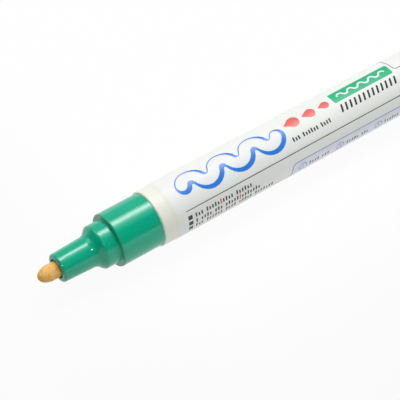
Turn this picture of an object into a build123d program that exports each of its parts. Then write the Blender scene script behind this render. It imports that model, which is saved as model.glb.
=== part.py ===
from build123d import *

import os
from math import atan2, cos, hypot, pi, sin, sqrt, tan

# A valve-action paint marker lying on its side, nib towards -X, in millimetres.
# Positions along the marker are counted from the barrel's mouth, forward being negative.
# Pressing the nib pushes the valve stem off its seat, and paint runs from the barrel to the nib.

# Barrel, a drawn aluminium can that is open at the front
barrel_diameter = 15.0
barrel_length = 100.0
barrel_wall = 0.5
barrel_floor = 1.0
mouth_edge_round = 0.4
tail_round = 1.6
floor_chamfer = 1.0
tail_dish_diameter = 9.0
tail_dish_depth = 0.35

# Label film, glued round the barrel between two bare bands
label_thickness = 0.1
label_glue = 0.02
bare_band = 4.3

# Front section, one moulding: nozzle, flare, shoulder, collar and the spigot inside the barrel
collar_setback = 0.35
collar_length = 11.8
shoulder_diameter = 11.6
shoulder_length = 3.7
flare_length = 1.75
nozzle_base_diameter = 8.25
nozzle_front_diameter = 7.5
nozzle_length = 9.5
nozzle_mouth_gap = 0.5
section_wall = 1.2
nozzle_edge_round = 0.6
shoulder_edge_round = 0.8
collar_edge_round = 0.4
collar_root_round = 0.2
cove_radius = 2.4
spigot_length = 6.0
spigot_clearance = 0.08
bead_count = 2
bead_width = 0.8
bead_clearance = 0.02

# Nib, a fibre rod with a bullet point, which slides between guide ribs in the nozzle
nib_diameter = 4.2
nib_exposed = 5.25
nib_dome_length = 3.2
nib_tail_chamfer = 0.3
guide_rib_count = 6
guide_rib_width = 0.8
guide_rib_setback = 1.5
guide_clearance = 0.08

# Valve
valve_travel = 2.5
nib_stop_margin = 0.4
contact_gap = 0.05
seat_thickness = 1.6
seat_bore_diameter = 4.0
seat_clearance = 0.05
head_diameter = 5.8
head_thickness = 1.4
pad_thickness = 1.0
pad_clearance = 0.15
pad_notch_count = 4
pad_notch_width = 0.9
stem_pin_diameter = 2.4
housing_wall = 0.9
housing_floor = 1.4
boss_height = 2.4
flow_slot_count = 4
flow_slot_bridge = 1.4

# Valve spring
spring_wire = 0.5
spring_turns = 7
spring_wire_sides = 8
spring_end_gap = 0.45
spring_side_gap = 0.2

# Ball that stirs the paint
ball_diameter = 6.0
ball_clearance = 0.1

# Radii and positions that follow from the sizes above
barrel_radius = barrel_diameter / 2
barrel_bore = barrel_radius - barrel_wall
label_radius = barrel_radius + label_glue + label_thickness
collar_radius = barrel_radius - collar_setback
shoulder_radius = shoulder_diameter / 2
nib_radius = nib_diameter / 2
mouth_radius = nib_radius + nozzle_mouth_gap
spigot_radius = barrel_bore - spigot_clearance
chamber_radius = min(spigot_radius, collar_radius) - section_wall
antechamber_radius = shoulder_radius - section_wall

collar_front = -collar_length
shoulder_front = collar_front - shoulder_length
flare_front = shoulder_front - flare_length
nozzle_front = flare_front - nozzle_length
nib_tip = nozzle_front - nib_exposed
chamber_front = collar_front + section_wall
antechamber_front = shoulder_front + section_wall

seat_rear = chamber_front + seat_thickness
seat_bore = seat_bore_diameter / 2
head_radius = head_diameter / 2
seat_cone = (head_radius - seat_bore) / 2
pin_radius = stem_pin_diameter / 2
head_front = seat_rear + contact_gap * sqrt(2)
head_rear = head_front + head_thickness
nib_rear = chamber_front - nib_stop_margin - valve_travel

housing_radius = chamber_radius - seat_clearance
housing_bore = housing_radius - housing_wall
flange_front = spigot_length
housing_rear = flange_front + section_wall
floor_front = housing_rear - housing_floor
guide_bore = pin_radius + guide_clearance
stem_rear = housing_rear - valve_travel

spring_radius = head_radius - spring_side_gap - spring_wire / 2
boss_radius = spring_radius - spring_wire / 2 - spring_side_gap
spring_start = head_rear + contact_gap + spring_wire / 2
spring_end = floor_front - contact_gap - spring_wire / 2

ball_radius = ball_diameter / 2
ball_drop = barrel_bore - ball_clearance - ball_radius
ball_rest = barrel_length - barrel_floor - ball_clearance - ball_radius

# The marker rests on its label, and the origin is under the middle of its length.
axis_height = label_radius
mid_length = (nib_tip + barrel_length) / 2
placement = Pos(-mid_length, 0, axis_height)


def turned(*corners):
    """Solid turned about the marker's axis. Each corner is (position, radius, rounding)."""
    points = [(position, radius) for position, radius, _ in corners]
    rounds = [rounding for _, _, rounding in corners]
    outline = FilletPolyline(*points, radius=rounds, close=True)
    return revolve(make_face(outline), axis=Axis.X)


def radial_blocks(front, rear, inner, outer, width, count):
    """Blocks spaced evenly round the axis, each reaching from one radius to another."""
    block = Box(rear - front, width, outer - inner, align=(Align.MIN, Align.CENTER, Align.MIN))
    block = Pos(front, 0, inner) * block
    return [Rot(X=360 / count * index) * block for index in range(count)]


def make_barrel():
    inner_floor = barrel_length - barrel_floor
    mouth_round = min(mouth_edge_round, barrel_wall * 0.8)
    can = turned(
        (0, barrel_bore, 0),
        (0, barrel_radius, mouth_round),
        (barrel_length, barrel_radius, tail_round),
        (barrel_length, 0, 0),
        (inner_floor, 0, 0),
        (inner_floor, barrel_bore - floor_chamfer, 0),
        (inner_floor - floor_chamfer, barrel_bore, 0),
    )
    # The dish is the cap of a large ball that reaches into the tail by the dish's depth.
    half_width = tail_dish_diameter / 2
    dish_radius = (half_width**2 + tail_dish_depth**2) / (2 * tail_dish_depth)
    dish_centre = barrel_length + dish_radius - tail_dish_depth
    return can - Pos(dish_centre, 0, 0) * Sphere(dish_radius)


def make_label():
    inner = barrel_radius + label_glue
    rear = barrel_length - bare_band
    return turned(
        (bare_band, inner, 0),
        (bare_band, label_radius, 0),
        (rear, label_radius, 0),
        (rear, inner, 0),
    )


def make_front_section():
    nozzle_base = nozzle_base_diameter / 2
    nozzle_tip = nozzle_front_diameter / 2
    nozzle_round = min(nozzle_edge_round, (nozzle_tip - mouth_radius) / 2)
    # The flare's slope has to hold the cove at its foot and the round at its top.
    flare_rise = shoulder_radius - nozzle_base
    largest_round = hypot(flare_rise, flare_length) / tan(atan2(flare_rise, flare_length) / 2)
    cove = min(cove_radius, largest_round * 0.65)
    shoulder_round = min(shoulder_edge_round, largest_round * 0.3)
    collar_rise = collar_radius - shoulder_radius
    collar_round = min(collar_edge_round, collar_rise / 2)
    root_round = min(collar_root_round, collar_rise / 4)
    section = turned(
        (nozzle_front, mouth_radius, 0),
        (nozzle_front, nozzle_tip, nozzle_round),
        (flare_front, nozzle_base, cove),
        (shoulder_front, shoulder_radius, shoulder_round),
        (collar_front, shoulder_radius, root_round),
        (collar_front, collar_radius, collar_round),
        (0, collar_radius, 0),
        (0, spigot_radius, 0),
        (spigot_length, spigot_radius, 0),
        (spigot_length, chamber_radius, 0),
        (chamber_front, chamber_radius, 0),
        (chamber_front, antechamber_radius, 0),
        (antechamber_front, antechamber_radius, 0),
        (antechamber_front, mouth_radius, 0),
    )
    bead_crest = barrel_bore - bead_clearance
    bead_spacing = spigot_length / (bead_count + 1)
    for index in range(bead_count):
        middle = bead_spacing * (index + 1)
        section += turned(
            (middle - bead_width / 2, spigot_radius, 0),
            (middle - bead_width / 4, bead_crest, 0),
            (middle + bead_width / 4, bead_crest, 0),
            (middle + bead_width / 2, spigot_radius, 0),
            (middle + bead_width / 2, spigot_radius - bead_width / 2, 0),
            (middle - bead_width / 2, spigot_radius - bead_width / 2, 0),
        )
    # The ribs are rooted in the nozzle's wall by half of their own width.
    rib_front = nozzle_front + guide_rib_setback
    rib_crest = nib_radius + guide_clearance
    rib_root = mouth_radius + guide_rib_width / 2
    ribs = radial_blocks(
        rib_front, antechamber_front, rib_crest, rib_root, guide_rib_width, guide_rib_count
    )
    return section + ribs


def make_nib():
    point_end = nib_tip + nib_dome_length
    dome = EllipticalCenterArc(
        (point_end, 0), nib_dome_length, nib_radius, start_angle=90, arc_size=90
    )
    sides = Polyline(
        (point_end, nib_radius),
        (nib_rear - nib_tail_chamfer, nib_radius),
        (nib_rear, nib_radius - nib_tail_chamfer),
        (nib_rear, 0),
        (nib_tip, 0),
    )
    return revolve(make_face([dome, sides]), axis=Axis.X)


def make_valve_seat():
    rim = chamber_radius - seat_clearance
    return turned(
        (chamber_front, seat_bore, 0),
        (chamber_front, rim, 0),
        (seat_rear, rim, 0),
        (seat_rear, seat_bore + seat_cone, 0),
        (seat_rear - seat_cone, seat_bore, 0),
    )


def make_valve_stem():
    pad_front = nib_rear + contact_gap
    pad_rear = pad_front + pad_thickness
    pad_radius = seat_bore - pad_clearance
    cone_radius = seat_bore + seat_cone
    cone_front = head_front - (cone_radius - pin_radius)
    stem = turned(
        (pad_front, 0, 0),
        (pad_front, pad_radius, 0),
        (pad_rear, pad_radius, 0),
        (pad_rear, pin_radius, 0),
        (cone_front, pin_radius, 0),
        (head_front, cone_radius, 0),
        (head_front, head_radius, 0),
        (head_rear, head_radius, 0),
        (head_rear, pin_radius, 0),
        (stem_rear, pin_radius, 0),
        (stem_rear, 0, 0),
    )
    # Notches in the pad let paint past it to the nib.
    notches = radial_blocks(
        pad_front, pad_rear, pin_radius, seat_bore, pad_notch_width, pad_notch_count
    )
    return stem - notches


def make_valve_housing():
    flange_radius = barrel_bore - spigot_clearance
    housing = turned(
        (seat_rear, housing_bore, 0),
        (seat_rear, housing_radius, 0),
        (flange_front, housing_radius, 0),
        (flange_front, flange_radius, 0),
        (housing_rear, flange_radius, 0),
        (housing_rear, guide_bore, 0),
        (floor_front - boss_height, guide_bore, 0),
        (floor_front - boss_height, boss_radius, 0),
        (floor_front, boss_radius, 0),
        (floor_front, housing_bore, 0),
    )
    # Flow slots in the floor lie between the spring's foot and the wall, with bridges between them.
    slot_inner = head_radius
    slot_outer = housing_bore - seat_clearance
    ring = turned(
        (floor_front, slot_inner, 0),
        (floor_front, slot_outer, 0),
        (housing_rear, slot_outer, 0),
        (housing_rear, slot_inner, 0),
    )
    bridges = radial_blocks(
        floor_front, housing_rear, slot_inner / 2, housing_bore, flow_slot_bridge, flow_slot_count
    )
    return housing - (ring - bridges)


def spring_point(turn):
    """Centre of the wire after so many turns. The pitch is least at the ends and widest midway."""
    end_pitch = spring_wire + spring_end_gap
    length = spring_end - spring_start
    swell = 2 * (length / spring_turns - end_pitch)
    phase = 2 * pi * turn / spring_turns
    advance = end_pitch * turn + swell * (turn / 2 - spring_turns * sin(phase) / (4 * pi))
    angle = 2 * pi * turn
    return Vector(
        spring_start + advance, spring_radius * cos(angle), spring_radius * sin(angle)
    )


def spring_direction(turn):
    nudge = 1e-4
    return (spring_point(turn + nudge) - spring_point(turn - nudge)).normalized()


def biarc(start, start_direction, end, end_direction):
    """Two tangent arcs that join two points, leaving and arriving along the given directions."""
    chord = end - start
    along = chord.dot(start_direction + end_direction)
    bend = 2 * (1 - start_direction.dot(end_direction))
    reach = (sqrt(along**2 + bend * chord.dot(chord)) - along) / bend
    first_corner = start + start_direction * reach
    second_corner = end - end_direction * reach
    middle = (first_corner + second_corner) * 0.5
    middle_direction = (second_corner - first_corner).normalized()
    return [
        TangentArc(start, middle, tangent=start_direction),
        TangentArc(middle, end, tangent=middle_direction),
    ]


def make_valve_spring():
    half_turns = 2 * spring_turns
    arcs = []
    for index in range(half_turns):
        begin, finish = index / 2, (index + 1) / 2
        arcs += biarc(
            spring_point(begin),
            spring_direction(begin),
            spring_point(finish),
            spring_direction(finish),
        )
    wire = RegularPolygon(spring_wire / 2, spring_wire_sides)
    section = Plane(spring_point(0), z_dir=spring_direction(0)) * wire
    return sweep(section, path=Wire(arcs))


def least_spring_gap():
    """Smallest clear gap between turns, measured on points spaced along the wire."""
    per_turn = 48
    samples = [spring_point(step / per_turn) for step in range(spring_turns * per_turn + 1)]
    gaps = []
    for index, point in enumerate(samples):
        later = samples[index + per_turn // 2 :]
        gaps += [(other - point).length - spring_wire for other in later]
    return min(gaps)


def make_mixing_ball():
    return Pos(ball_rest, 0, -ball_drop) * Sphere(ball_radius)


pieces = {
    "nib": make_nib(),
    "front_section": make_front_section(),
    "valve_seat": make_valve_seat(),
    "valve_stem": make_valve_stem(),
    "valve_spring": make_valve_spring(),
    "valve_housing": make_valve_housing(),
    "barrel": make_barrel(),
    "label": make_label(),
    "mixing_ball": make_mixing_ball(),
}

os.makedirs("parts", exist_ok=True)
for name, piece in pieces.items():
    export_step(placement * piece, f"parts/{name}.step")

print("least gap between spring turns, mm:", round(least_spring_gap(), 3))
print("middle of the length, from the barrel's mouth, mm:", round(mid_length, 3))
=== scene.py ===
import math

import bmesh
import bpy
from mathutils import Matrix, Vector, noise


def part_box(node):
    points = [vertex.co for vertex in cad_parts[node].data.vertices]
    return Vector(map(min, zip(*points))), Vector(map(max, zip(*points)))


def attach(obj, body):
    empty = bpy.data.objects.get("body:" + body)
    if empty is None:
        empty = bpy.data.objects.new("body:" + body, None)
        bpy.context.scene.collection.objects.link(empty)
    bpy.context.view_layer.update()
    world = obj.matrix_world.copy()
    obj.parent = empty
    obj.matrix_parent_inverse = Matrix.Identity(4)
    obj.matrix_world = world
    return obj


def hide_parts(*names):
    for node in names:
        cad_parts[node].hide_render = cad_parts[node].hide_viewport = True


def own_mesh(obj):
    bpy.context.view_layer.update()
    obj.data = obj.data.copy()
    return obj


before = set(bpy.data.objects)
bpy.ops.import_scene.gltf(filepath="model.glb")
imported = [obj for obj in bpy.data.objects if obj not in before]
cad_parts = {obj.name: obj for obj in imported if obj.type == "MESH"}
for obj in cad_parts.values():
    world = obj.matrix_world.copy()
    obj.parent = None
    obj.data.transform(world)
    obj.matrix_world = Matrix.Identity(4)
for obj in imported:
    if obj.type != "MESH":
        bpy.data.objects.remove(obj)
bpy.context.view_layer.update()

# A paint marker lying on a white table, nib towards -X, in metres.
MM = 0.001

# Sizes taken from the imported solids
label_low, label_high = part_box("label")
nib_low, nib_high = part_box("nib")
barrel_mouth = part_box("barrel")[0].x
paint_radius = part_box("barrel")[1].y
label_radius = (label_high.z - label_low.z) / 2
axis_height = (label_high.z + label_low.z) / 2
nib_radius = (nib_high.y - nib_low.y) / 2
nib_length = nib_high.x - nib_low.x

# Camera, from the photograph's perspective
view_turn = math.radians(36.4)
view_tilt = math.radians(47.5)
camera_lens = 140.2
camera_sensor = 36.0
camera_distance = 384.5 * MM
camera_shift_right = 12.86 * MM
camera_shift_up = 4.82 * MM
camera_near = 0.01
camera_far = 20

# Table and backdrop. Greys are (millimetres, grey) pairs along one axis, from under the marker's
# middle. They are painted shade in the table's own colour, darker near the tip and in front of the
# marker, so that the table bounces less light onto it. Bounced light sees them in full. The camera
# sees plain white in the share table_white.
table_half = 2.0
table_drop = 0.02 * MM
table_white = 0.94
tip_shade_greys = ((-62, 0.65), (-30, 1.0))
front_shade_greys = ((-80, 0.12), (-20, 0.85))
backdrop_height = 0.35
backdrop_sides = 96

# Room. A dim side is a direction, the angles from it in degrees at which its shade starts to fade and
# has gone, and the share of the light that is left in it.
room_level = 0.45
dim_sides = (
    ((-0.3, -0.75, 0.55), 50, 80, 0.09),
    ((-0.9, 0.35, 0.4), 25, 48, 0.05),
)

# Strip lamps over the marker: turn from the main one in degrees, width and brightness
strip_turn = math.radians(76.2)
strip_lean = 0.31
strip_distance = 0.6
strip_length = 0.27
strips = ((-10, 0.11, 4.3), (0, 0.125, 11.0), (10, 0.11, 4.0), (20, 0.11, 1.1), (30, 0.11, 0.4))

# Single lamps: name, direction, distance, width, length, brightness, and whether reflections show it
single_lamps = (
    ("front_light", (-0.09, -0.6, 0.8), 0.5, 0.02, 0.02, 390.0, True),
    ("fill_light", (0.1, -0.98, 0.15), 0.6, 0.16, 0.5, 3.1, False),
    ("tip_light", (-0.85, 0.3, 0.45), 0.35, 0.15, 0.15, 0.6, False),
    ("side_light", (-0.3, 0.45, 0.84), 0.35, 0.22, 0.2, 1.9, True),
)

# Noise range, bump and ink of the finishes
noise_low = 0.3
noise_high = 0.7
fine_bump = 0.3
ink_gloss = (0.28, 0.36)
ink_grain = 2500
ink_relief = 0.003 * MM

# Print on the label. Its sheet is laid out in millimetres: x runs along the barrel from the mouth,
# y runs up round the barrel from the line that faces the camera.
front_line = math.radians(53.5)
ink_layer = 0.008 * MM
ink_root = 0.006 * MM
wrap_step = 0.3
cut_snap = 0.01
same_point = 1e-4
arc_steps = 10
film_crease = 40

# The film's overlap at the back, on the same sheet, and its thin margins at the two ends
overlap_low = 19.6
overlap_high = 23.0
overlap_layers = 6
margin_reach = 0.9 * MM
margin_lap = 0.03 * MM
margin_lift = 0.001 * MM
margin_root = 0.05 * MM
margin_sides = 180

# Nib
dome_length = 3.2 * MM
dome_rings = 40
side_rings = 90
nib_sides = 96
nib_tail_chamfer = 0.3 * MM
nib_grain = 0.035 * MM
grain_per_metre = 2600
grain_stretch = 0.4
tip_grain_share = 0.3
form_crease = 50

# Spring
spring_turns = 7
turn_steps = 36
wire_sides = 12
wire_radius = 0.25 * MM
end_pitch = 0.95 * MM


# Shader helpers

def start_material(name):
    material = bpy.data.materials.new(name)
    material.use_nodes = True
    tree = material.node_tree
    shader = tree.nodes["Principled BSDF"]
    return material, tree, shader


def object_noise(tree, scale, detail=3.0, stretch=(1, 1, 1)):
    """Noise that is fixed to the piece. The scale is in features per metre."""
    place = tree.nodes.new("ShaderNodeTexCoord")
    mapping = tree.nodes.new("ShaderNodeMapping")
    mapping.inputs["Scale"].default_value = stretch
    texture = tree.nodes.new("ShaderNodeTexNoise")
    texture.inputs["Scale"].default_value = scale
    texture.inputs["Detail"].default_value = detail
    tree.links.new(place.outputs["Object"], mapping.inputs["Vector"])
    tree.links.new(mapping.outputs["Vector"], texture.inputs["Vector"])
    return texture.outputs["Fac"]


def object_places(tree):
    """X, Y and Z of a point of the piece."""
    place = tree.nodes.new("ShaderNodeTexCoord")
    split = tree.nodes.new("ShaderNodeSeparateXYZ")
    tree.links.new(place.outputs["Object"], split.inputs["Vector"])
    return split.outputs


def change_range(tree, value, start, end, low=0.0, high=1.0):
    """Number that goes from low to high as the value goes from start to end."""
    remap = tree.nodes.new("ShaderNodeMapRange")
    remap.inputs["From Min"].default_value = start
    remap.inputs["From Max"].default_value = end
    remap.inputs["To Min"].default_value = low
    remap.inputs["To Max"].default_value = high
    tree.links.new(value, remap.inputs["Value"])
    return remap


def spread(tree, factor, low, high):
    """Number that goes from low to high over the noise's usual range."""
    return change_range(tree, factor, noise_low, noise_high, low, high).outputs["Result"]


def blend_colours(tree, factor, first, second, low=noise_low, high=noise_high):
    """Colour that goes from the first to the second as the factor goes from low to high."""
    ramp = tree.nodes.new("ShaderNodeValToRGB")
    ramp.color_ramp.elements[0].position = low
    ramp.color_ramp.elements[0].color = (*first, 1)
    ramp.color_ramp.elements[1].position = high
    ramp.color_ramp.elements[1].color = (*second, 1)
    tree.links.new(factor, ramp.inputs["Fac"])
    return ramp.outputs["Color"]


def blend_greys(tree, place, steps):
    """Grey that follows a row of (millimetres, grey) pairs along one axis."""
    first, last = steps[0][0], steps[-1][0]
    ramp = tree.nodes.new("ShaderNodeValToRGB")
    elements = ramp.color_ramp.elements
    while len(elements) < len(steps):
        elements.new(0.5)
    for element, (at, grey) in zip(elements, steps):
        element.position = (at - first) / (last - first)
        element.color = (grey, grey, grey, 1)
    share = change_range(tree, place, first * MM, last * MM)
    tree.links.new(share.outputs["Result"], ramp.inputs["Fac"])
    return ramp.outputs["Color"]


def join_math(tree, operation, first, second):
    """Result of one operation on two sockets, or on a socket and a number."""
    node = tree.nodes.new("ShaderNodeMath")
    node.operation = operation
    for place, value in zip(node.inputs, (first, second)):
        if isinstance(value, float):
            place.default_value = value
        else:
            tree.links.new(value, place)
    return node.outputs["Value"]


def add_bump(tree, shader, height, strength, depth):
    bump = tree.nodes.new("ShaderNodeBump")
    bump.inputs["Strength"].default_value = strength
    bump.inputs["Distance"].default_value = depth
    tree.links.new(height, bump.inputs["Height"])
    tree.links.new(bump.outputs["Normal"], shader.inputs["Normal"])


def plain_finish(name, first, second, mottle, roughness, grain, depth, metallic=0.0, shine=0.5):
    """Finish with two close colours in mottled patches, uneven gloss and a fine surface grain."""
    material, tree, shader = start_material(name)
    patches = object_noise(tree, mottle)
    fine = object_noise(tree, grain, detail=2.0)
    tree.links.new(blend_colours(tree, patches, first, second), shader.inputs["Base Color"])
    tree.links.new(spread(tree, patches, *roughness), shader.inputs["Roughness"])
    shader.inputs["Metallic"].default_value = metallic
    shader.inputs["Specular IOR Level"].default_value = shine
    add_bump(tree, shader, fine, fine_bump, depth)
    return material


# Finishes

def green_plastic():
    material = plain_finish(
        "green_plastic_gloss", (0.002, 0.415, 0.24), (0.003, 0.434, 0.254),
        mottle=180, roughness=(0.12, 0.16), grain=1500, depth=0.004 * MM,
    )
    material.node_tree.nodes["Principled BSDF"].inputs["IOR"].default_value = 1.5
    return material


def cream_paint():
    return plain_finish(
        "cream_paint_satin", (0.842, 0.845, 0.752), (0.857, 0.86, 0.772),
        mottle=240, roughness=(0.36, 0.44), grain=2600, depth=0.006 * MM, shine=0.3,
    )


def white_film():
    return plain_finish(
        "white_film", (0.838, 0.864, 0.828), (0.853, 0.876, 0.843),
        mottle=120, roughness=(0.44, 0.52), grain=1800, depth=0.003 * MM, shine=0.25,
    )


def seal_rubber():
    return plain_finish(
        "seal_rubber_matte", (0.02, 0.02, 0.021), (0.03, 0.03, 0.031),
        mottle=600, roughness=(0.6, 0.75), grain=4000, depth=0.01 * MM,
    )


def natural_plastic():
    return plain_finish(
        "natural_plastic_satin", (0.74, 0.74, 0.7), (0.79, 0.79, 0.75),
        mottle=400, roughness=(0.38, 0.48), grain=3000, depth=0.005 * MM,
    )


def ball_steel():
    return plain_finish(
        "ball_steel_polished", (0.58, 0.58, 0.6), (0.64, 0.64, 0.66),
        mottle=300, roughness=(0.08, 0.14), grain=3000, depth=0.002 * MM, metallic=1.0,
    )


def spring_steel():
    return plain_finish(
        "spring_steel_drawn", (0.5, 0.5, 0.51), (0.58, 0.58, 0.6),
        mottle=900, roughness=(0.25, 0.38), grain=6000, depth=0.004 * MM, metallic=1.0,
    )


def fibre():
    """Tan fibre with dark pores that run along the nib. Light goes a little way into it."""
    material, tree, shader = start_material("bonded_fibre")
    pores = object_noise(tree, 3800, detail=4.0, stretch=(0.45, 1, 1))
    patches = object_noise(tree, 1300, detail=3.0, stretch=(0.5, 1, 1))
    worn = blend_colours(tree, patches, (0.895, 0.505, 0.155), (0.955, 0.635, 0.23))
    pits = blend_colours(tree, pores, (0.78, 0.66, 0.56), (1.0, 1.0, 1.0), 0.34, 0.5)
    mix = tree.nodes.new("ShaderNodeMix")
    mix.data_type = "RGBA"
    mix.blend_type = "MULTIPLY"
    mix.inputs["Factor"].default_value = 1.0
    tree.links.new(worn, mix.inputs["A"])
    tree.links.new(pits, mix.inputs["B"])
    tree.links.new(mix.outputs["Result"], shader.inputs["Base Color"])
    tree.links.new(spread(tree, pores, 0.95, 0.75), shader.inputs["Roughness"])
    shader.inputs["Specular IOR Level"].default_value = 0.2
    shader.inputs["Subsurface Weight"].default_value = 0.85
    shader.inputs["Subsurface Radius"].default_value = (1.0, 0.75, 0.45)
    shader.inputs["Subsurface Scale"].default_value = 2.0 * MM
    add_bump(tree, shader, pores, 0.35, 0.04 * MM)
    return material


def ink(name, colour, second=None, roughness=ink_gloss, shine=0.5):
    """Ink in a colour and a second one, which is a little paler if it isn't given."""
    second = second or tuple(min(1.0, part * 1.08 + 0.004) for part in colour)
    return plain_finish(
        name, colour, second,
        mottle=500, roughness=roughness, grain=ink_grain, depth=ink_relief, shine=shine,
    )


def fading_ink(name, top, bottom, low_height, high_height):
    """Ink that fades from one colour to another over a height above the table."""
    material, tree, shader = start_material(name)
    height = change_range(tree, object_places(tree)["Z"], low_height, high_height)
    colour = blend_colours(tree, height.outputs["Result"], bottom, top, 0.0, 1.0)
    grain = object_noise(tree, ink_grain, detail=2.0)
    tree.links.new(colour, shader.inputs["Base Color"])
    tree.links.new(spread(tree, grain, *ink_gloss), shader.inputs["Roughness"])
    add_bump(tree, shader, grain, fine_bump, ink_relief)
    return material


# Mesh helpers

def add_object(name, mesh, material, body):
    piece = bpy.data.objects.new(name, mesh)
    bpy.context.scene.collection.objects.link(piece)
    mesh.materials.append(material)
    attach(piece, body)
    return piece


def make_mesh(name, build, crease):
    """Mesh of a finished form, smooth apart from edges that bend by more than the crease in degrees."""
    bmesh.ops.recalc_face_normals(build, faces=build.faces)
    mesh = bpy.data.meshes.new(name)
    build.to_mesh(mesh)
    build.free()
    for face in mesh.polygons:
        face.use_smooth = True
    mesh.set_sharp_from_angle(angle=math.radians(crease))
    return mesh


def skin(build, loops):
    """Bands of faces between each closed loop of points and the next."""
    for front, rear in zip(loops, loops[1:]):
        for index in range(len(front)):
            build.faces.new((front[index - 1], rear[index - 1], rear[index], front[index]))


def full_turn(count):
    """Evenly spaced angles of a whole turn."""
    return [2 * math.pi * index / count for index in range(count)]


def round_axis(x, radius, turn):
    """Point at an angle round the marker's axis."""
    return Vector((x, radius * math.cos(turn), axis_height + radius * math.sin(turn)))


# Outlines on the label's sheet

def arc(x, y, radius, start, end):
    """Points of an arc, in degrees, counted anticlockwise if the end is greater than the start."""
    turns = [math.radians(start + (end - start) * step / arc_steps) for step in range(arc_steps + 1)]
    return [(x + radius * math.cos(turn), y + radius * math.sin(turn)) for turn in turns]


def disc(x, y, radius):
    return arc(x, y, radius, 0, 180)[:-1] + arc(x, y, radius, 180, 360)[:-1]


def square_bar(left, bottom, right, top):
    return [(left, bottom), (right, bottom), (right, top), (left, top)]


def rounded_bar(left, bottom, right, top, radius):
    return (
        arc(left + radius, bottom + radius, radius, 180, 270)
        + arc(right - radius, bottom + radius, radius, 270, 360)
        + arc(right - radius, top - radius, radius, 0, 90)
        + arc(left + radius, top - radius, radius, 90, 180)
    )


def rounded_frame(left, bottom, right, top, radius, line):
    """Two outlines, with a line of even width between them."""
    inside = (left + line, bottom + line, right - line, top - line)
    return [rounded_bar(left, bottom, right, top, radius), rounded_bar(*inside, radius - line)]


def paint_drop(x, y, radius, length):
    """Drop with its point towards the nib."""
    lean = math.degrees(math.acos(radius / (length - radius)))
    return [(x, y)] + arc(x + length - radius, y, radius, lean - 180, 180 - lean)


def wave_stroke(left, middle, bend, reach, half_waves, width):
    """Stroke of even width, with round ends, along arcs that crest up and down by turns.

    Each arc has the radius bend, and reaches so many degrees to either side of its crest.
    """
    half = width / 2
    span = 2 * bend * math.sin(math.radians(reach))
    sink = bend * math.cos(math.radians(reach))
    upper, lower = [], []
    for index in range(half_waves):
        x = left + span * (index + 0.5)
        if index % 2 == 0:
            upper += arc(x, middle - sink, bend + half, 90 + reach, 90 - reach)
            lower += arc(x, middle - sink, bend - half, 90 + reach, 90 - reach)
        else:
            upper += arc(x, middle + sink, bend - half, 270 - reach, 270 + reach)
            lower += arc(x, middle + sink, bend + half, 270 - reach, 270 + reach)
    lean = reach if half_waves % 2 == 0 else -reach
    front_end = arc(left, middle, half, reach + 90, reach + 270)
    rear_end = arc(left + span * half_waves, middle, half, lean - 90, lean + 90)
    return front_end + lower + rear_end + upper[::-1]


def tick_row(left, bottom, height, groups):
    """Row of fine upright ticks in groups of the given counts, in three heights by turns."""
    thick, pitch, space = 0.42, 0.86, 0.75
    shares = (1.0, 0.72, 0.86)
    ticks = []
    for group in groups:
        for _ in range(group):
            top = bottom + height * shares[len(ticks) % len(shares)]
            ticks.append([square_bar(left, bottom, left + thick, top)])
            left += pitch
        left += space
    return ticks


def slanted_bars(left, bottom, top, width, pitch, count):
    """Row of bold bars that lean towards the tail."""
    lean = (top - bottom) / 3
    bars = []
    for index in range(count):
        x = left + pitch * index
        bars.append([[(x, bottom), (x + width, bottom), (x + width + lean, top), (x + lean, top)]])
    return bars


# Ink on the label

def distinct(points):
    """The same outline without points that repeat the one before."""
    pairs = zip(points[-1:] + points[:-1], points)
    return [point for before, point in pairs if math.dist(point, before) > same_point]


def wrapped(x, y, height):
    """Point of the label's sheet, laid round the barrel at a height over the film."""
    angle = front_line + y * MM / label_radius
    radius = label_radius + height
    return Vector((
        barrel_mouth + x * MM,
        -radius * math.cos(angle),
        axis_height + radius * math.sin(angle),
    ))


def wrap_sheet(name, flat, material, layer):
    """Turns a flat sheet into a thin closed film of ink that lies round the label."""
    heights = [vert.co.y for vert in flat.verts]
    cuts = int((max(heights) - min(heights)) / wrap_step)
    for index in range(1, cuts + 1):
        bmesh.ops.bisect_plane(
            flat,
            geom=flat.verts[:] + flat.edges[:] + flat.faces[:],
            dist=cut_snap,
            plane_co=(0, min(heights) + index * wrap_step, 0),
            plane_no=(0, 1, 0),
        )
    made = bmesh.ops.extrude_face_region(flat, geom=flat.faces[:], use_keep_orig=True)
    upper = {item for item in made["geom"] if isinstance(item, bmesh.types.BMVert)}
    for vert in flat.verts:
        height = ink_layer * layer if vert in upper else -ink_root
        vert.co = wrapped(vert.co.x, vert.co.y, height)
    add_object(name, make_mesh(name, flat, film_crease), material, "body")


def print_shapes(name, shapes, material, layer=1):
    """Prints each shape, on the film or, as layer 2, over other ink.

    A shape is a list of outlines, the later ones being holes.
    """
    flat = bmesh.new()
    for outlines in shapes:
        edges = []
        for outline in outlines:
            corners = [flat.verts.new((x, y, 0)) for x, y in distinct(outline)]
            for index, corner in enumerate(corners):
                edges.append(flat.edges.new((corners[index - 1], corner)))
        bmesh.ops.triangle_fill(flat, use_beauty=True, edges=edges)
    wrap_sheet(name, flat, material, layer)


def print_digit(name, text, x, y, size, material, layer):
    curve = bpy.data.curves.new(name, "FONT")
    curve.body = text
    curve.size = size
    curve.align_x = "CENTER"
    curve.align_y = "CENTER"
    carrier = bpy.data.objects.new(name, curve)
    letter = bpy.data.meshes.new_from_object(carrier)
    flat = bmesh.new()
    flat.from_mesh(letter)
    bmesh.ops.remove_doubles(flat, verts=flat.verts, dist=same_point)
    bmesh.ops.translate(flat, verts=flat.verts, vec=(x, y, 0))
    bpy.data.objects.remove(carrier)
    bpy.data.curves.remove(curve)
    bpy.data.meshes.remove(letter)
    wrap_sheet(name, flat, material, layer)


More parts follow.
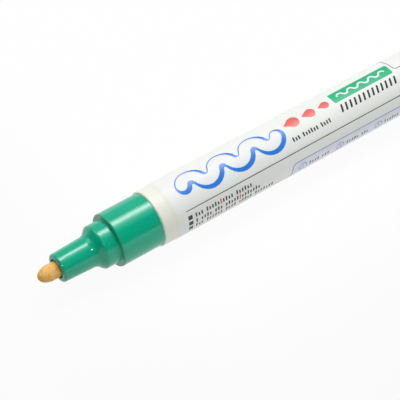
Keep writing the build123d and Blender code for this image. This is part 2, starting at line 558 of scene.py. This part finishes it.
def print_label():
    black = ink("ink_black", (0.018, 0.018, 0.02))
    white = ink(
        "ink_white", (0.83, 0.84, 0.84), (0.845, 0.855, 0.857), roughness=(0.44, 0.52), shine=0.25
    )
    green = ink("ink_green", (0.005, 0.45, 0.2))
    violet = ink("ink_violet", (0.2, 0.2, 0.45))
    lavender = ink("ink_lavender", (0.7, 0.73, 0.8))
    red = ink("ink_red", (0.72, 0.1, 0.1))
    blue = ink("ink_blue", (0.013, 0.2, 0.74), (0.02, 0.225, 0.78))
    red_fade = fading_ink(
        "ink_red_fade", (0.83, 0.13, 0.115), (0.85, 0.33, 0.31), 14.0 * MM, 15.2 * MM
    )

    wave = dict(bend=2.6, reach=70, half_waves=6)
    blue_stroke = wave_stroke(left=9.6, middle=3.0, width=4.5, **wave)
    white_stroke = wave_stroke(left=9.3, middle=3.42, width=2.9, **wave)
    print_shapes("print_blue_wave", [[blue_stroke]], blue)
    print_shapes("print_white_wave", [[white_stroke]], white, layer=2)

    drop_line = 4.6
    drop_sizes = ((42.0, 1.7, 4.9), (48.0, 1.45, 4.2), (53.3, 1.2, 3.5))
    drops = [[paint_drop(x, drop_line, radius, length)] for x, radius, length in drop_sizes]
    print_shapes("print_red_drops", drops, red_fade)

    bar = rounded_bar(left=58.2, bottom=3.4, right=78.0, top=7.0, radius=0.5)
    bar_wave = wave_stroke(left=60.2, middle=5.2, bend=1.0, reach=62, half_waves=9, width=0.55)
    print_shapes("print_green_bar", [[bar]], green)
    print_shapes("print_bar_wave", [[bar_wave]], white, layer=2)

    lines = [[square_bar(left=7.0, bottom=-3.05, right=92.5, top=-2.82)]]
    lines += slanted_bars(left=58.4, bottom=0.4, top=2.5, width=0.6, pitch=1.5, count=13)
    lines += tick_row(left=42.0, bottom=-0.4, height=1.2, groups=(3, 6, 4))
    row_height = 1.25
    rows = ((-5.6, (3, 5, 4, 6)), (-7.4, (1, 4, 3, 5, 7)), (-9.2, (3, 6, 4, 5, 7)))
    for bottom, groups in rows:
        lines.append([square_bar(left=7.1, bottom=bottom, right=8.35, top=bottom + row_height)])
        lines += tick_row(left=9.3, bottom=bottom, height=row_height, groups=groups)
    print_shapes("print_black_lines", lines, black)
    marks = [[square_bar(16.9, -5.75, 17.3, -4.2)], [square_bar(22.7, -7.55, 23.1, -6.0)]]
    print_shapes("print_red_marks", marks, red, layer=2)

    panel = (39.7, -16.5, 92.0, -5.85)
    panel_round = 1.6
    print_shapes("print_lavender_panel", [[rounded_bar(*panel, panel_round)]], lavender)
    panel_frame = rounded_frame(*panel, panel_round, line=0.22)
    print_shapes("print_violet_frame", [panel_frame], violet, layer=2)
    step_line = -8.5
    ring_outside, ring_inside = 1.3, 1.08
    rings, notes = [], []
    for index, x in enumerate((43.2, 55.6, 68.6)):
        step = str(index + 1)
        rings.append([disc(x, step_line, ring_outside), disc(x, step_line, ring_inside)])
        print_digit(f"print_step_{step}", step, x, step_line, size=1.9, material=violet, layer=2)
        notes += tick_row(left=x + 2.2, bottom=step_line - 0.6, height=1.2, groups=(4 + index, 3))
    print_shapes("print_step_rings", rings, violet, layer=2)
    print_shapes("print_step_notes", notes, black, layer=2)

    box = rounded_frame(left=78.8, bottom=4.0, right=92.5, top=19.0, radius=1.2, line=0.2)
    print_shapes("print_black_frame", [box], black)


# The film's overlap and its margins

def lap_film():
    """Strip at the back, where the film's end lies over its start."""
    ends = [(edge.x - barrel_mouth) / MM for edge in (label_low, label_high)]
    overlap = square_bar(ends[0], overlap_low, ends[1], overlap_high)
    print_shapes("film_overlap", [[overlap]], white_film(), overlap_layers)


def feather_film():
    """Clear rings at the film's two ends, which run out thin and let the paint's colour through."""
    build = bmesh.new()
    for edge, outward in ((label_low.x, -1), (label_high.x, 1)):
        thick = edge - outward * margin_lap
        thin = edge + outward * margin_reach
        profile = (
            (thin, paint_radius),
            (thick, label_radius + margin_lift),
            (thick, label_radius - margin_root),
            (thin, paint_radius - margin_root),
        )
        loops = []
        for turn in full_turn(margin_sides):
            loops.append([build.verts.new(round_axis(x, radius, turn)) for x, radius in profile])
        skin(build, loops + loops[:1])
    mesh = make_mesh("film_margins", build, film_crease)
    add_object("film_margins", mesh, cream_paint(), "body")


# The nib, with the grain of its fibres in the surface

def make_nib():
    rings = []
    for index in range(1, dome_rings + 1):
        turn = math.pi / 2 * index / dome_rings
        rings.append((dome_length * (1 - math.cos(turn)), nib_radius * math.sin(turn)))
    side_length = nib_length - nib_tail_chamfer - dome_length
    for index in range(1, side_rings + 1):
        rings.append((dome_length + side_length * index / side_rings, nib_radius))
    rings.append((nib_length, nib_radius - nib_tail_chamfer))
    build = bmesh.new()
    tip = build.verts.new((nib_low.x, 0, axis_height))
    loops = []
    for along, radius in rings:
        share = tip_grain_share + (1 - tip_grain_share) * min(1.0, along / dome_length)
        loop = []
        for turn in full_turn(nib_sides):
            sample = Vector((along * grain_stretch, radius * math.cos(turn), radius * math.sin(turn)))
            pit = max(0.0, noise.noise(sample * grain_per_metre))
            depth = nib_grain * pit * share
            loop.append(build.verts.new(round_axis(nib_low.x + along, radius - depth, turn)))
        loops.append(loop)
    for index, point in enumerate(loops[0]):
        build.faces.new((tip, loops[0][index - 1], point))
    skin(build, loops)
    build.faces.new(loops[-1])
    mesh = make_mesh("fibre_nib", build, form_crease)
    piece = add_object("fibre_nib", mesh, fibre(), "nib")
    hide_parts("nib")


# The spring, wound from round wire in the place of its solid

def make_spring():
    """Spring at one length, wound from round wire. In the marker it shortens as the valve stem comes
    back. Its pitch is least at the ends.
    """
    low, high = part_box("valve_spring")
    coil_radius = (high.y - low.y) / 2 - wire_radius
    start = low.x + wire_radius
    length = high.x - wire_radius - start
    swell = 2 * (length / spring_turns - end_pitch)
    nudge = 0.001

    def centre(turn):
        phase = 2 * math.pi * turn / spring_turns
        growth = turn / 2 - spring_turns * math.sin(phase) / (4 * math.pi)
        return round_axis(start + end_pitch * turn + swell * growth, coil_radius, 2 * math.pi * turn)

    build = bmesh.new()
    loops = []
    for index in range(spring_turns * turn_steps + 1):
        turn = index / turn_steps
        angle = 2 * math.pi * turn
        outward = Vector((0, math.cos(angle), math.sin(angle)))
        along = (centre(turn + nudge) - centre(turn - nudge)).normalized()
        across = along.cross(outward)
        loop = []
        for roll in full_turn(wire_sides):
            reach = outward * math.cos(roll) + across * math.sin(roll)
            loop.append(build.verts.new(centre(turn) + reach * wire_radius))
        loops.append(loop)
    skin(build, loops)
    build.faces.new(loops[0])
    build.faces.new(loops[-1])
    mesh = make_mesh("coil_spring", build, form_crease)
    piece = add_object("coil_spring", mesh, spring_steel(), "body")
    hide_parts("valve_spring")
    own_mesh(piece)


# Finish of each solid

def dress_nodes():
    natural = natural_plastic()
    finishes = {
        "front_section": green_plastic(),
        "barrel": cream_paint(),
        "label": white_film(),
        "valve_seat": seal_rubber(),
        "mixing_ball": ball_steel(),
        "valve_stem": natural,
        "valve_housing": natural,
    }
    for node, material in finishes.items():
        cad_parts[node].material_slots[0].material = material


# Table, light and camera

def make_table():
    """Pale table, white to the camera, in reflections and through clear material. Its own colour, which
    bounced light sees, is darkened near the tip and in front as painted shade.
    """
    mesh = bpy.data.meshes.new("table")
    half = table_half
    corners = [(-half, -half, 0), (half, -half, 0), (half, half, 0), (-half, half, 0)]
    mesh.from_pydata(corners, [], [(0, 1, 2, 3)])
    table = bpy.data.objects.new("table", mesh)
    bpy.context.scene.collection.objects.link(table)
    material = bpy.data.materials.new("white_table")
    material.use_nodes = True
    tree = material.node_tree
    tree.nodes.clear()
    places = object_places(tree)
    # Painted shade: the table's diffuse colour is darker near the tip and in front, so it bounces less
    # light onto the marker.
    tip_shade = blend_greys(tree, places["X"], tip_shade_greys)
    front_shade = blend_greys(tree, places["Y"], front_shade_greys)
    paper = tree.nodes.new("ShaderNodeBsdfDiffuse")
    tree.links.new(join_math(tree, "MULTIPLY", tip_shade, front_shade), paper.inputs["Color"])
    path = tree.nodes.new("ShaderNodeLightPath")
    camera = path.outputs["Is Camera Ray"]
    mirrored = join_math(
        tree, "MAXIMUM", path.outputs["Is Glossy Ray"], path.outputs["Is Transmission Ray"]
    )
    share = join_math(tree, "MAXIMUM", join_math(tree, "MULTIPLY", camera, table_white), mirrored)
    white = tree.nodes.new("ShaderNodeEmission")
    mix = tree.nodes.new("ShaderNodeMixShader")
    output = tree.nodes.new("ShaderNodeOutputMaterial")
    tree.links.new(share, mix.inputs["Fac"])
    tree.links.new(paper.outputs["BSDF"], mix.inputs[1])
    tree.links.new(white.outputs["Emission"], mix.inputs[2])
    tree.links.new(mix.outputs["Shader"], output.inputs["Surface"])
    mesh.materials.append(material)
    table.location.z = -table_drop
    return material


def make_backdrop(material):
    """Low white wall round the table, for views along it.

    The camera and reflections see it. It casts no shadow and adds nothing to the diffuse light.
    """
    build = bmesh.new()
    loops = []
    for height in (0, backdrop_height):
        loop = []
        for turn in full_turn(backdrop_sides):
            x, y = table_half * math.cos(turn), table_half * math.sin(turn)
            loop.append(build.verts.new((x, y, height)))
        loops.append(loop)
    skin(build, loops)
    mesh = bpy.data.meshes.new("backdrop")
    build.to_mesh(mesh)
    build.free()
    mesh.materials.append(material)
    backdrop = bpy.data.objects.new("backdrop", mesh)
    bpy.context.scene.collection.objects.link(backdrop)
    backdrop.visible_diffuse = False
    backdrop.visible_shadow = False


def make_world():
    """Pale room with dim sides."""
    world = bpy.data.worlds.new("studio")
    bpy.context.scene.world = world
    world.use_nodes = True
    tree = world.node_tree
    room = tree.nodes["Background"]
    room.inputs["Color"].default_value = (1, 1, 1, 1)
    place = tree.nodes.new("ShaderNodeTexCoord")
    strength = room_level
    for direction, shaded, clear, share in dim_sides:
        facing = tree.nodes.new("ShaderNodeVectorMath")
        facing.operation = "DOT_PRODUCT"
        facing.inputs[1].default_value = Vector(direction).normalized()
        tree.links.new(place.outputs["Generated"], facing.inputs[0])
        start, end = math.cos(math.radians(clear)), math.cos(math.radians(shaded))
        fade = change_range(tree, facing.outputs["Value"], start, end, 1.0, share)
        fade.interpolation_type = "SMOOTHSTEP"
        strength = join_math(tree, "MULTIPLY", fade.outputs["Result"], strength)
    tree.links.new(strength, room.inputs["Strength"])


def add_panel_light(name, direction, distance, width, length, brightness, mirrored=True):
    """Soft lamp that faces the marker, its length along X. Brightness 1 looks like lit white paper."""
    lamp = bpy.data.lights.new(name, "AREA")
    lamp.shape = "RECTANGLE"
    lamp.size = length
    lamp.size_y = width
    lamp.energy = brightness * math.pi * width * length
    holder = bpy.data.objects.new(name, lamp)
    bpy.context.scene.collection.objects.link(holder)
    towards = Vector(direction).normalized()
    side = (Vector((1, 0, 0)) - towards * towards.x).normalized()
    turn = Matrix((side, towards.cross(side), towards)).transposed()
    holder.rotation_mode = "QUATERNION"
    holder.rotation_quaternion = turn.to_quaternion()
    holder.location = Vector((0, 0, axis_height)) + towards * distance
    holder.visible_glossy = mirrored


def add_lamps():
    for offset, width, brightness in strips:
        turn = strip_turn + math.radians(offset)
        direction = (strip_lean, math.cos(turn), math.sin(turn))
        add_panel_light(
            f"strip_light_{offset}", direction, strip_distance, width, strip_length, brightness
        )
    for lamp in single_lamps:
        add_panel_light(*lamp)


def make_camera():
    forward = Vector((
        math.sin(view_turn) * math.cos(view_tilt),
        math.cos(view_turn) * math.cos(view_tilt),
        -math.sin(view_tilt),
    ))
    right = Vector((math.cos(view_turn), -math.sin(view_turn), 0))
    up = right.cross(forward)
    mouth = Vector((barrel_mouth, 0, axis_height))
    data = bpy.data.cameras.new("photo_camera")
    data.lens = camera_lens
    data.sensor_width = camera_sensor
    data.clip_start = camera_near
    data.clip_end = camera_far
    camera = bpy.data.objects.new("photo_camera", data)
    bpy.context.scene.collection.objects.link(camera)
    shift = right * camera_shift_right + up * camera_shift_up
    camera.location = mouth + shift - forward * camera_distance
    camera.rotation_mode = "QUATERNION"
    camera.rotation_quaternion = forward.to_track_quat("-Z", "Y")
    bpy.context.scene.camera = camera


dress_nodes()
make_nib()
make_spring()
print_label()
lap_film()
feather_film()
make_backdrop(make_table())
make_world()
add_lamps()
make_camera()
bpy.context.scene.view_settings.view_transform = "Standard"
